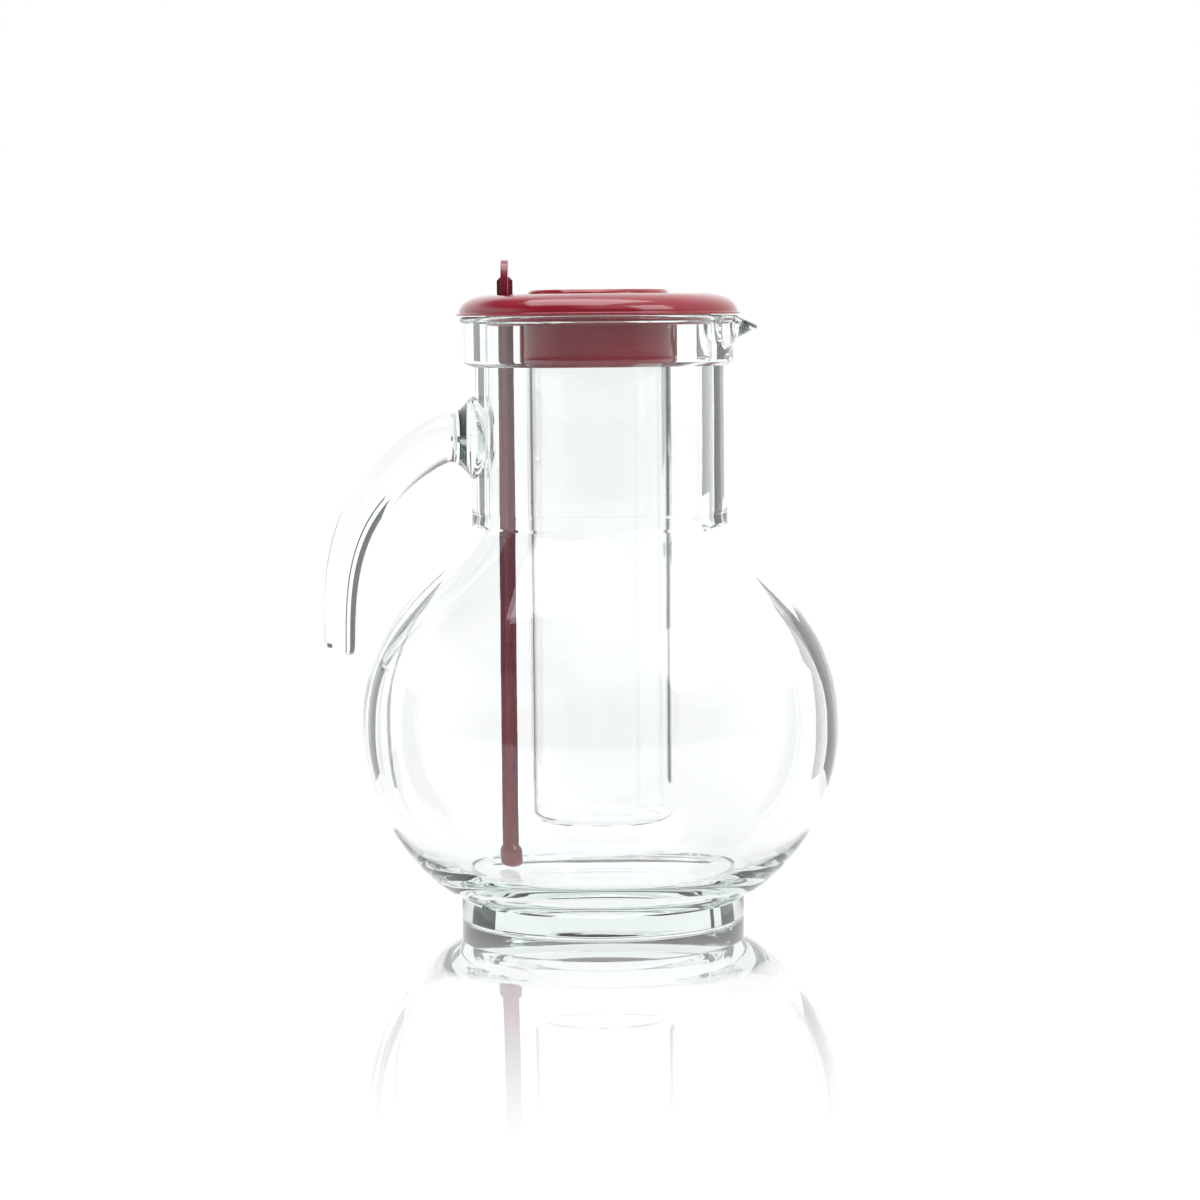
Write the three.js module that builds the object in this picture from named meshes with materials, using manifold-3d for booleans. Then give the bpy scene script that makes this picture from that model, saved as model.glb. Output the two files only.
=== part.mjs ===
// Glass jug with an applied handle, a lift-off lid, an ice tube with its cap, and a stirrer.
// Lengths are in millimetres. The origin is the centre of the foot on the table, +Z is up,
// +X points to the pouring lip and the handle hangs on the -X side.
import * as THREE from 'three';
import { mergeVertices } from 'three/addons/utils/BufferGeometryUtils.js';
import Module from 'manifold-3d';

const wasm = await Module();
wasm.setup();

// Jug: heights are above the table.
const jugHeight = 221.5;
const footRadius = 52.3;
const footBevel = 0.8;
const footGroove = 0.5;
const bulbRadius = 88.2;
const bulbWaistHeight = 70;
const bulbBottomHeight = 7;
const bulbBottomTuck = 4.3;
const bulbWall = 5.5;
const shoulderHeight = 147.9;
const shoulderTuck = 1.1;
const innerShoulderDrop = 2.9;
const neckRadius = 47;
const neckWall = 5.2;
const floorThickness = 10.5;
const floorDish = 5;
const floorInset = 6.3;
const collarHeight = 17;
const collarStep = 2.4;
const collarSlope = 1.3;
const lipHeight = 2.6;
const lipFlare = 1.5;
const lipRound = 1;

// The bulb's outline is a rounded curve below its waist and another one above it.
const lowerCurve = { heightPower: 1.88, radiusPower: 1.49 };
const upperCurve = { heightPower: 2.38, radiusPower: 0.7 };
const innerLowerCurve = { heightPower: 1.95, radiusPower: 1.8 };

// Pouring lip, pinched out of the rim.
const spoutReach = 7.8;
const spoutDrop = 3.6;
const spoutOuterDepth = 11;
const spoutInnerDepth = 16;
const spoutHalfAngle = THREE.MathUtils.degToRad(18);

// Handle: a bar of glass that leaves the neck level and curves down to an open end.
const handleOverhang = 7.6;
const handleRootDrop = 27.2;
const handleTipRise = 27.6;
const handleBendStart = 9;
const handleRootThickness = 18.6;
const handleTipThickness = 12.4;
const handleRootDepth = 21;
const handleTipDepth = 15;
const handleFlare = 12;
const handleFlareLength = 8;
const handleTipRound = 3.6;
const handleTipFlatShare = 0.6;
const handleSink = 4;
const handleCurve = { reachPower: 1.24, heightPower: 3.12 };

// Lid
const lidOverhang = 0.2;
const lidEdgeWidth = 1.1;
const lidEdgeThickness = 0.8;
const lidRise = 7.6;
const lidDomeWidth = 12.4;
const lidWall = 2.2;
const lidSeatWidth = 3;
const spigotDepth = 3.7;
const spigotWall = 2;
const spigotBevel = 0.5;
const collarTubeWall = 2;
const collarTubeLength = 26;
const collarTubeBevel = 0.5;
const ledgeWidth = 1.3;
const ledgeDepth = 2.1;
const domeCurve = { widthPower: 2.1, heightPower: 2.1 };

// Ice tube
const tubeRadius = 26.5;
const tubeWall = 1.8;
const tubeFloorGap = 26;
const tubeCornerRadius = 4.5;
const tubeCrown = 3.5;
const tubeFlangeThickness = 1.5;

// Cap of the ice tube
const capWall = 1.6;
const plugDepth = 8;
const plugBevel = 0.5;
const capRimWidth = 1.95;
const capRimHeight = 1.6;
const capRimTaper = 1.25;
const gripWidth = 6;
const gripDrop = 0.3;
const gripSink = 0.8;

// Stirrer: two crossing ribs that end below in a knob and above in a flat tab.
const rodWidth = 5.8;
const ribThickness = 1.8;
const tabThickness = 2.6;
const tabWidth = 18;
const tabHeight = 12.4;
const tabArc = 7.5;
const shoulderRise = 6.2;
const shoulderChamfer = 1.3;
const knobRadius = 4.15;
const knobLength = 9;
const knobNeckLength = 6;
const knobEndRound = 3;

// Clearances between pieces
const seatGap = 0.3;
const handleGap = 0.3;
const spigotGap = 0.5;
const collarTubeGap = 0.4;
const flangeGap = 0.4;
const plugGap = 0.5;
const rodHoleGap = 0.4;
const knobFloorGap = 1.2;
const cutOverrun = 2;

// Facet counts
const jugSegments = 64;
const lidSegments = 64;
const tubeSegments = 40;
const knobSegments = 16;
const holeSegments = 24;
const handleSides = 18;
const handleSteps = 20;
const handleTipSteps = 4;
const bulbSteps = 11;
const cavitySteps = 10;
const domeSteps = 6;
const cornerSteps = 4;
const crownSteps = 4;
const dishSteps = 3;
const spoutSteps = 4;
const quarterCrowding = 0.5;

// Sizes that follow
const neckInnerRadius = neckRadius - neckWall;
const collarRadius = neckRadius + collarStep;
const collarBottom = jugHeight - collarHeight;
const lipRadius = collarRadius + lipFlare;
const handleReach = bulbRadius + handleOverhang;
const handleRootHeight = collarBottom - handleRootDrop;
const handleTipHeight = bulbWaistHeight + handleTipRise;
const lidBottom = jugHeight + seatGap;
const lidTop = lidBottom + lidRise;
const lidRadius = lipRadius + lidOverhang + lidEdgeWidth;
const spigotRadius = neckInnerRadius - spigotGap;
const collarTubeInner = tubeRadius + collarTubeGap;
const collarTubeOuter = collarTubeInner + collarTubeWall;
const ledgeRadius = collarTubeInner + ledgeWidth;
const ledgeHeight = lidTop - ledgeDepth;
const tubeInner = tubeRadius - tubeWall;
const tubeFlangeRadius = ledgeRadius - flangeGap;
const tubeFlangeBottom = ledgeHeight + seatGap;
const tubeTop = tubeFlangeBottom + tubeFlangeThickness;
const tubeBottom = floorThickness + tubeFloorGap;
const capSeat = tubeTop + seatGap;
const plugRadius = tubeInner - plugGap;
const rodOffset = (collarTubeOuter + spigotRadius - spigotWall) / 2;
const rodHoleRadius = knobRadius + rodHoleGap;

// Welds a geometry's shared corners and hands it over as a solid.
function toSolid(geometry) {
  const bare = geometry.clone();
  bare.deleteAttribute('normal');
  bare.deleteAttribute('uv');
  const welded = mergeVertices(bare);
  const corners = welded.index.array;
  const kept = [];
  for (let i = 0; i < corners.length; i += 3) {
    const [a, b, c] = corners.slice(i, i + 3);
    if (a !== b && b !== c && c !== a) {
      kept.push(a, b, c);
    }
  }
  return new wasm.Manifold(new wasm.Mesh({
    numProp: 3,
    vertProperties: new Float32Array(welded.attributes.position.array),
    triVerts: new Uint32Array(kept),
  }));
}

function toGeometry(solid) {
  const { vertProperties, triVerts } = solid.getMesh();
  const geometry = new THREE.BufferGeometry();
  geometry.setAttribute('position', new THREE.BufferAttribute(vertProperties, 3));
  geometry.setIndex(new THREE.BufferAttribute(triVerts, 1));
  geometry.computeVertexNormals();
  return geometry;
}

// Turns an outline of [radius, height] points about the Z axis.
function turned(outline, segments) {
  const points = outline.map(([radius, height]) => new THREE.Vector2(radius, height));
  return new THREE.LatheGeometry(points, segments).rotateX(Math.PI / 2);
}

// Radius of a rounded curve that runs from the widest radius (share 0) to an end radius (share 1).
function curveRadius(share, widest, end, { heightPower, radiusPower }) {
  return end + (widest - end) * (1 - share ** heightPower) ** (1 / radiusPower);
}

// The share at which such a curve reaches a radius.
function curveShare(radius, widest, end, { heightPower, radiusPower }) {
  return (1 - ((radius - end) / (widest - end)) ** radiusPower) ** (1 / heightPower);
}

// Points on such a curve from the waist to a given radius near its end.
function curvePoints(steps, widest, end, lastRadius, waist, endHeight, curve) {
  const lastShare = curveShare(lastRadius, widest, end, curve);
  const points = [];
  for (let i = 0; i <= steps; i += 1) {
    const share = lastShare * Math.sin((Math.PI / 2) * (i / steps));
    points.push([curveRadius(share, widest, end, curve), waist + (endHeight - waist) * share]);
  }
  return points;
}

// A quarter of an ellipse about a centre, from one angle to another.
function arcPoints(steps, centreRadius, centreHeight, width, height, startAngle, endAngle) {
  const points = [];
  for (let i = 0; i <= steps; i += 1) {
    const angle = startAngle + (endAngle - startAngle) * (i / steps);
    points.push([centreRadius + width * Math.cos(angle), centreHeight + height * Math.sin(angle)]);
  }
  return points;
}

// The jug's outer skin, from the middle of the foot to the top of the rim.
function outerOutline() {
  const lower = curvePoints(bulbSteps, bulbRadius, footRadius - bulbBottomTuck,
    footRadius - footGroove, bulbWaistHeight, bulbBottomHeight, lowerCurve).reverse();
  const upper = curvePoints(bulbSteps, bulbRadius, neckRadius - shoulderTuck,
    neckRadius, bulbWaistHeight, shoulderHeight, upperCurve).slice(1);
  const lipBottom = jugHeight - lipHeight;
  const lip = [];
  for (let i = 0; i <= spoutSteps; i += 1) {
    const share = i / spoutSteps;
    lip.push([collarRadius, lipBottom - (spoutOuterDepth - lipHeight) * (1 - share)]);
  }
  return [
    [0, 0],
    [footRadius - footBevel, 0],
    [footRadius, footBevel],
    [footRadius, lower[0][1] - footGroove],
    ...lower,
    ...upper,
    [neckRadius, collarBottom - collarSlope],
    [collarRadius, collarBottom],
    ...lip,
    ...arcPoints(cornerSteps, collarRadius, jugHeight - lipFlare, lipFlare, lipFlare, 0, Math.PI / 2),
  ];
}

// The jug's inner skin, from the rim to the middle of the floor.
function innerOutline() {
  const innerRadius = bulbRadius - bulbWall;
  const innerUpper = curvePoints(cavitySteps, innerRadius, neckInnerRadius - shoulderTuck,
    neckInnerRadius, bulbWaistHeight, shoulderHeight - innerShoulderDrop, upperCurve).reverse();
  const floorEdgeRadius = footRadius - floorInset;
  const floorEdgeHeight = floorThickness + floorDish;
  const innerLower = curvePoints(cavitySteps, innerRadius, floorEdgeRadius, floorEdgeRadius,
    bulbWaistHeight, floorEdgeHeight, innerLowerCurve).slice(1);
  const dish = [];
  for (let i = dishSteps - 1; i >= 0; i -= 1) {
    const share = i / dishSteps;
    dish.push([floorEdgeRadius * share, floorThickness + floorDish * share ** 2]);
  }
  const mouth = [];
  for (let i = 0; i <= spoutSteps; i += 1) {
    const share = i / spoutSteps;
    mouth.push([neckInnerRadius, jugHeight - lipRound - (spoutInnerDepth - lipRound) * share]);
  }
  return [
    [neckInnerRadius + lipRound, jugHeight],
    ...mouth,
    ...innerUpper,
    ...innerLower,
    ...dish,
  ];
}

// Crowds the facets at the four quarter points, then pinches the rim out into the pouring lip.
function shapeSpout(geometry) {
  const position = geometry.attributes.position;
  const quarters = 4;
  const middleRadius = (neckInnerRadius + collarRadius) / 2;
  for (let i = 0; i < position.count; i += 1) {
    const radius = Math.hypot(position.getX(i), position.getY(i));
    const turn = Math.atan2(position.getY(i), position.getX(i));
    const angle = turn - (quarterCrowding / quarters) * Math.sin(quarters * turn);
    const height = position.getZ(i);
    const depth = radius > middleRadius ? spoutOuterDepth : spoutInnerDepth;
    const climb = THREE.MathUtils.smoothstep(height, jugHeight - depth, jugHeight);
    const share = Math.min(1, Math.abs(angle) / spoutHalfAngle);
    const pinch = climb * Math.cos((Math.PI / 2) * share) ** 2;
    const outward = THREE.MathUtils.smoothstep(radius, neckInnerRadius, collarRadius);
    const pushed = radius + spoutReach * pinch;
    const lowered = height - spoutDrop * pinch * outward;
    position.setXYZ(i, pushed * Math.cos(angle), pushed * Math.sin(angle), lowered);
  }
  return geometry;
}

function jugBody() {
  const outline = [...outerOutline(), ...innerOutline()];
  return toGeometry(toSolid(shapeSpout(turned(outline, jugSegments))));
}

// The jug as if it were full, and larger by the handle's joint gap all round.
function jugAllowance() {
  const outline = new wasm.CrossSection([[...outerOutline(), [0, jugHeight]]]);
  return wasm.Manifold.revolve(outline.offset(handleGap, 'Miter'), jugSegments);
}

// A closed skin over rings of equal point counts, with a fan at each end.
function lofted(rings) {
  const sides = rings[0].length;
  const positions = rings.flat().flatMap((point) => point.toArray());
  [rings[0], rings.at(-1)].forEach((ring) => {
    const middle = ring.reduce((sum, point) => sum.add(point), new THREE.Vector3());
    positions.push(...middle.divideScalar(sides).toArray());
  });
  const first = rings.length * sides;
  const last = first + 1;
  const faces = [];
  for (let j = 0; j < sides; j += 1) {
    const next = (j + 1) % sides;
    for (let i = 0; i + 1 < rings.length; i += 1) {
      const near = i * sides;
      const far = near + sides;
      faces.push(near + j, near + next, far + next, near + j, far + next, far + j);
    }
    const end = first - sides;
    faces.push(first, next, j, last, end + j, end + next);
  }
  const geometry = new THREE.BufferGeometry();
  geometry.setAttribute('position', new THREE.BufferAttribute(new Float32Array(positions), 3));
  geometry.setIndex(faces);
  return geometry;
}

// Centre of the handle's bar in the X-Z plane. Share 0 is the start of the bend, share 1 the tip.
function handlePoint(share) {
  const angle = (Math.PI / 2) * share;
  const bendStart = neckRadius + handleBendStart;
  const reach = bendStart + (handleReach - bendStart) * Math.sin(angle) ** (2 / handleCurve.reachPower);
  const drop = (handleRootHeight - handleTipHeight) * Math.cos(angle) ** (2 / handleCurve.heightPower);
  return new THREE.Vector3(-reach, 0, handleTipHeight + drop);
}

function handlePath() {
  const points = [
    new THREE.Vector3(handleSink - neckRadius, 0, handleRootHeight),
    new THREE.Vector3(-neckRadius - handleBendStart / 2, 0, handleRootHeight),
  ];
  for (let i = 0; i <= handleSteps; i += 1) {
    points.push(handlePoint(i / handleSteps));
  }
  return new THREE.CatmullRomCurve3(points);
}

// Lengths along the bar at which it has a ring: close together in the root's flare and at the tip.
function handleStations(length) {
  const flareEnd = handleSink + handleFlareLength;
  const tipStart = length - handleTipRound;
  const stations = [];
  for (let i = 0; i < cornerSteps; i += 1) {
    stations.push(flareEnd * (i / cornerSteps));
  }
  for (let i = 0; i < handleSteps; i += 1) {
    stations.push(flareEnd + (tipStart - flareEnd) * (i / handleSteps));
  }
  for (let i = 0; i <= handleTipSteps; i += 1) {
    stations.push(tipStart + handleTipRound * Math.sin((Math.PI / 2) * (i / handleTipSteps)));
  }
  return stations;
}

function jugHandle() {
  const path = handlePath();
  const length = path.getLength();
  const side = new THREE.Vector3(0, 1, 0);
  const rings = handleStations(length).map((station) => {
    const share = station / length;
    const centre = path.getPointAt(share);
    const across = new THREE.Vector3().crossVectors(side, path.getTangentAt(share)).normalize();
    const flareShare = Math.max(0, 1 - Math.max(0, station - handleSink) / handleFlareLength);
    const flare = handleFlare * flareShare ** 2;
    const tipShare = Math.max(0, 1 - (length - station) / handleTipRound);
    const shrink = handleTipFlatShare + (1 - handleTipFlatShare) * Math.sqrt(1 - tipShare ** 2);
    const barThickness = THREE.MathUtils.lerp(handleRootThickness, handleTipThickness, share);
    const barDepth = THREE.MathUtils.lerp(handleRootDepth, handleTipDepth, share);
    const thickness = (barThickness + flare) * shrink;
    const depth = (barDepth + flare) * shrink;
    const ring = [];
    for (let i = 0; i < handleSides; i += 1) {
      const angle = 2 * Math.PI * (i / handleSides);
      ring.push(centre.clone()
        .addScaledVector(across, (thickness / 2) * Math.cos(angle))
        .addScaledVector(side, (depth / 2) * Math.sin(angle)));
    }
    return ring;
  });
  return toGeometry(toSolid(lofted(rings)).subtract(jugAllowance()));
}

// A quarter of the lid's dome, from its crown to its edge, for the outer or the inner skin.
function domePoints(crownRadius, edgeRadius, bottom, top) {
  const points = [];
  for (let i = 0; i <= domeSteps; i += 1) {
    const angle = (Math.PI / 2) * (i / domeSteps);
    const out = Math.sin(angle) ** (2 / domeCurve.widthPower);
    const up = Math.cos(angle) ** (2 / domeCurve.heightPower);
    points.push([crownRadius + (edgeRadius - crownRadius) * out, bottom + (top - bottom) * up]);
  }
  return points;
}

function lidOutline() {
  const domeRadius = lidRadius - lidEdgeWidth;
  const crownRadius = domeRadius - lidDomeWidth;
  const innerTop = lidTop - lidWall;
  const seatRadius = spigotRadius + lidSeatWidth;
  const outerDome = domePoints(crownRadius, domeRadius, lidBottom + lidEdgeThickness, lidTop).reverse();
  const innerDome = domePoints(crownRadius, domeRadius - lidWall, lidBottom, innerTop)
    .filter(([radius]) => radius > seatRadius);
  const spigotBottom = lidBottom - spigotDepth;
  const tubeBottomEdge = lidTop - collarTubeLength;
  return [
    [ledgeRadius, ledgeHeight],
    [collarTubeInner, ledgeHeight],
    [collarTubeInner, tubeBottomEdge],
    [collarTubeOuter - collarTubeBevel, tubeBottomEdge],
    [collarTubeOuter, tubeBottomEdge + collarTubeBevel],
    [collarTubeOuter, innerTop],
    [spigotRadius - spigotWall, innerTop],
    [spigotRadius - spigotWall, spigotBottom],
    [spigotRadius - spigotBevel, spigotBottom],
    [spigotRadius, spigotBottom + spigotBevel],
    [spigotRadius, lidBottom],
    [seatRadius, lidBottom],
    [seatRadius, innerDome[0][1]],
    ...innerDome.slice(1),
    [lidRadius, lidBottom],
    [lidRadius, lidBottom + lidEdgeThickness],
    ...outerDome,
    [ledgeRadius, lidTop],
    [ledgeRadius, ledgeHeight],
  ];
}

function lid() {
  const holeDepth = lidWall + 2 * cutOverrun;
  const hole = new THREE.CylinderGeometry(rodHoleRadius, rodHoleRadius, holeDepth, holeSegments)
    .rotateX(Math.PI / 2)
    .translate(-rodOffset, 0, lidTop - lidWall / 2);
  return toGeometry(toSolid(turned(lidOutline(), lidSegments)).subtract(toSolid(hole)));
}

// A domed-up bottom from the middle to its foot, at a height above the outer skin.
function crownPoints(footOfCrown, bottom) {
  const points = [];
  for (let i = 0; i < crownSteps; i += 1) {
    const share = i / crownSteps;
    points.push([footOfCrown * share, bottom + tubeCrown * (1 - share ** 2)]);
  }
  return points;
}

function tubeOutline() {
  const cornerMiddle = tubeRadius - tubeCornerRadius;
  const cornerHeight = tubeBottom + tubeCornerRadius;
  const outerCorner = tubeCornerRadius;
  const innerCorner = tubeCornerRadius - tubeWall;
  return [
    ...crownPoints(cornerMiddle, tubeBottom),
    ...arcPoints(cornerSteps, cornerMiddle, cornerHeight, outerCorner, outerCorner, -Math.PI / 2, 0),
    [tubeRadius, tubeFlangeBottom],
    [tubeFlangeRadius, tubeFlangeBottom],
    [tubeFlangeRadius, tubeTop],
    [tubeInner, tubeTop],
    ...arcPoints(cornerSteps, cornerMiddle, cornerHeight, innerCorner, innerCorner, 0, -Math.PI / 2),
    ...crownPoints(cornerMiddle, tubeBottom + tubeWall).reverse(),
  ];
}

function iceTube() {
  return toGeometry(toSolid(turned(tubeOutline(), tubeSegments)));
}

function capOutline() {
  const rimRadius = plugRadius + capRimWidth;
  const rimTop = capSeat + capRimHeight;
  const plugBottom = capSeat - plugDepth;
  const wellRadius = plugRadius - capWall;
  return [
    [0, plugBottom],
    [plugRadius - plugBevel, plugBottom],
    [plugRadius, plugBottom + plugBevel],
    [plugRadius, capSeat],
    [rimRadius, capSeat],
    [rimRadius - capRimTaper / 2, rimTop - capRimTaper / 2],
    [rimRadius - capRimTaper, rimTop],
    [wellRadius, rimTop],
    [wellRadius, plugBottom + capWall],
    [0, plugBottom + capWall],
  ];
}

function iceTubeCap() {
  const gripBottom = capSeat - plugDepth + capWall / 2;
  const gripTop = capSeat + capRimHeight - gripDrop;
  const gripLength = 2 * (plugRadius - capWall + gripSink);
  const grip = new THREE.BoxGeometry(gripLength, gripWidth, gripTop - gripBottom)
    .translate(0, 0, (gripTop + gripBottom) / 2);
  return toGeometry(toSolid(turned(capOutline(), tubeSegments)).add(toSolid(grip)));
}

// An outline in a plane, thickened evenly to both sides of it.
function plate(shape, thickness) {
  const settings = { depth: thickness, bevelEnabled: false, curveSegments: domeSteps };
  return new THREE.ExtrudeGeometry(shape, settings).translate(0, 0, -thickness / 2);
}

// The rib across the jug, seen from the front, with its shoulders above the lid.
function crossRib(bottom, tabSeat) {
  const half = rodWidth / 2;
  const top = tabSeat + shoulderRise;
  const shape = new THREE.Shape()
    .moveTo(-half, bottom)
    .lineTo(half, bottom)
    .lineTo(half, top - shoulderChamfer)
    .lineTo(half - shoulderChamfer, top)
    .lineTo(shoulderChamfer - half, top)
    .lineTo(-half, top - shoulderChamfer)
    .closePath();
  return plate(shape, ribThickness).rotateX(Math.PI / 2);
}

// The rib from front to back.
function longRib(bottom, tabSeat) {
  const half = rodWidth / 2;
  const shape = new THREE.Shape()
    .moveTo(-half, bottom)
    .lineTo(half, bottom)
    .lineTo(half, tabSeat + shoulderChamfer)
    .lineTo(-half, tabSeat + shoulderChamfer)
    .closePath();
  return plate(shape, ribThickness).rotateX(Math.PI / 2).rotateZ(Math.PI / 2);
}

// The tab that stands on the lid, wider than the lid's hole and rounded at the top.
function tab(tabSeat) {
  const half = tabWidth / 2;
  const arcHeight = tabSeat + tabHeight - tabArc;
  const shape = new THREE.Shape()
    .moveTo(-half, tabSeat)
    .lineTo(half, tabSeat)
    .lineTo(half, arcHeight)
    .absellipse(0, arcHeight, half, tabArc, 0, Math.PI)
    .closePath();
  return plate(shape, tabThickness).rotateX(Math.PI / 2).rotateZ(Math.PI / 2);
}

// The knob hangs a little above the floor, which is dished.
function knob(bottom) {
  const neck = ribThickness / 2;
  const shoulder = bottom + knobLength;
  const outline = [
    ...arcPoints(cornerSteps, 0, bottom + knobEndRound, knobRadius, knobEndRound, -Math.PI / 2, 0),
    [knobRadius, shoulder],
    [neck, shoulder + knobNeckLength],
    [0, shoulder + knobNeckLength],
  ];
  return turned(outline, knobSegments);
}

function stirrer() {
  const floorShare = rodOffset / (footRadius - floorInset);
  const bottom = floorThickness + floorDish * floorShare ** 2 + knobFloorGap;
  const ribBottom = bottom + knobEndRound;
  const tabSeat = lidTop + seatGap;
  const solid = toSolid(knob(bottom))
    .add(toSolid(crossRib(ribBottom, tabSeat)))
    .add(toSolid(longRib(ribBottom, tabSeat)))
    .add(toSolid(tab(tabSeat)));
  return toGeometry(solid);
}

const clearGlass = { color: 0xdfe9e6, roughness: 0.04, metalness: 0, transparent: true, opacity: 0.45 };
const clearPlastic = { color: 0xf2f4f4, roughness: 0.1, metalness: 0, transparent: true, opacity: 0.45 };
const redPlastic = { color: 0xb3182f, roughness: 0.22, metalness: 0 };

const jug = new THREE.Group();

function addPiece(name, geometry, finish) {
  const piece = new THREE.Mesh(geometry, new THREE.MeshStandardMaterial(finish));
  piece.name = name;
  jug.add(piece);
  return piece;
}

addPiece('jug_body', jugBody(), clearGlass);
addPiece('jug_handle', jugHandle(), clearGlass);
addPiece('lid', lid(), redPlastic);
addPiece('ice_tube', iceTube(), clearPlastic);
addPiece('ice_tube_cap', iceTubeCap(), redPlastic);
addPiece('stirrer', stirrer(), redPlastic).position.x = -rodOffset;

export default jug;
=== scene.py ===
import math
import bpy
from mathutils import Matrix, Vector


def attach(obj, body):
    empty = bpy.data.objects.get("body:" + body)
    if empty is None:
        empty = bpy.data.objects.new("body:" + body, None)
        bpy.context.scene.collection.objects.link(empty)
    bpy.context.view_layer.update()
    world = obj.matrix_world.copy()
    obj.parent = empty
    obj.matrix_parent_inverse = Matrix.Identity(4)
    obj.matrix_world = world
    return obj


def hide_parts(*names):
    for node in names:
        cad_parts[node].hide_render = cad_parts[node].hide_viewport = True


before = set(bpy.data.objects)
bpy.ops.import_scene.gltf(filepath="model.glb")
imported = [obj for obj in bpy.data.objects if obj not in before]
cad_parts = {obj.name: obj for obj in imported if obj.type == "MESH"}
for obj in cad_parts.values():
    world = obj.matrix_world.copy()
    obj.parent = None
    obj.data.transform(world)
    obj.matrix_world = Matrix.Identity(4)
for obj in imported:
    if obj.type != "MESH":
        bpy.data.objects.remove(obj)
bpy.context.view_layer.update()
mm = 0.001
weldDistance = 0.000002
tiny = 0.00001
print("frame loaded")


# shaping helpers

def pickOnly(piece):
    if bpy.context.mode != "OBJECT":
        bpy.ops.object.mode_set(mode="OBJECT")
    bpy.ops.object.select_all(action="DESELECT")
    piece.select_set(True)
    bpy.context.view_layer.objects.active = piece


def nameNewest(name):
    piece = bpy.context.object
    piece.name = name
    piece.data.name = name
    return piece


def drawLine(name, points):
    # one vertex, pulled out from point to point
    bpy.ops.object.select_all(action="DESELECT")
    bpy.ops.mesh.primitive_plane_add(size=mm)
    piece = nameNewest(name)
    bpy.ops.object.mode_set(mode="EDIT")
    bpy.ops.mesh.select_all(action="SELECT")
    bpy.ops.mesh.merge(type="CENTER")
    bpy.ops.transform.translate(value=Vector(points[0]) * mm)
    for here, there in zip(points, points[1:]):
        step = (Vector(there) - Vector(here)) * mm
        bpy.ops.mesh.extrude_region_move(TRANSFORM_OT_translate={"value": step})
    return piece


def turnOutline(name, outline, steps, centre=0.0):
    # a lathe: the outline holds radius and height, from the axis or back to its start
    piece = drawLine(name, [(centre + radius, 0, height) for radius, height in outline])
    bpy.ops.mesh.select_all(action="SELECT")
    bpy.ops.mesh.spin(steps=steps, angle=2 * math.pi, center=(centre * mm, 0, 0), axis=(0, 0, 1))
    cleanSkin()
    return piece


def cleanSkin():
    bpy.ops.mesh.select_all(action="SELECT")
    bpy.ops.mesh.remove_doubles(threshold=weldDistance)
    bpy.ops.mesh.normals_make_consistent(inside=False)
    bpy.ops.object.mode_set(mode="OBJECT")


def applyModifier(piece, kind, **settings):
    pickOnly(piece)
    modifier = piece.modifiers.new(kind.title(), kind)
    for key, value in settings.items():
        setattr(modifier, key, value)
    bpy.ops.object.modifier_apply(modifier=modifier.name)


def combine(piece, other, operation="UNION"):
    applyModifier(piece, "BOOLEAN", operation=operation, solver="EXACT", object=other)
    bpy.data.objects.remove(other, do_unlink=True)


def smooth(piece, angle=34):
    pickOnly(piece)
    bpy.ops.object.shade_smooth_by_angle(angle=math.radians(angle))


def softCorners(outline, radius, steps=4, sharpest=18, mostOfSide=0.45):
    # every corner of the outline is eased by a small arc
    eased = [outline[0]]
    for before, corner, after in zip(outline, outline[1:], outline[2:]):
        before, middle, after = Vector(before), Vector(corner), Vector(after)
        into, out = middle - before, after - middle
        if into.length == 0 or out.length == 0 or into.angle(out) < math.radians(sharpest):
            eased.append(corner)
            continue
        start = middle - into.normalized() * min(radius, into.length * mostOfSide)
        end = middle + out.normalized() * min(radius, out.length * mostOfSide)
        for i in range(steps + 1):
            share = i / steps
            eased.append(tuple(start.lerp(middle, share).lerp(middle.lerp(end, share), share)))
    eased.append(outline[-1])
    return eased


def arcRun(steps, centreRadius, centreHeight, width, height, startDegrees, endDegrees):
    run = []
    for i in range(steps + 1):
        angle = math.radians(startDegrees + (endDegrees - startDegrees) * i / steps)
        run.append((centreRadius + width * math.cos(angle), centreHeight + height * math.sin(angle)))
    return run


def smoothShare(value, low, high):
    share = min(1.0, max(0.0, (value - low) / (high - low)))
    return share * share * (3 - 2 * share)


# jug: body, pouring lip and applied handle as one glass

jug = {
    "height": 221.5, "foot": 52.3, "footBevel": 0.8, "footGroove": 0.5,
    "bulb": 88.2, "waist": 70, "bulbBottom": 7, "bulbTuck": 4.3, "wall": 5.5,
    "shoulder": 147.9, "shoulderTuck": 1.1, "innerShoulderDrop": 2.9,
    "neck": 47, "neckInner": 41.8, "floor": 10.5, "dish": 5, "floorEdge": 46,
    "collar": 49.4, "collarBottom": 204.5, "collarSlope": 1.3, "lipFlare": 1.5, "lipStart": -20,
    "lipRound": 1, "smoothAngle": 40,
    "lowerCurve": (1.88, 1.49), "upperCurve": (2.38, 0.7), "innerLowerCurve": (1.95, 1.8),
    "spoutReach": 7.8, "spoutDrop": 3.6, "spoutOuterDepth": 11, "spoutInnerDepth": 16,
    "spoutHalfAngle": 18, "curveSteps": 44, "stepsAround": 160,
    "collarEase": (0.25, 0.1), "collarStart": 0.3, "collarStep": 0.6, "collarTopDrop": 2.6, "neckSteps": 10,
}


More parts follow.
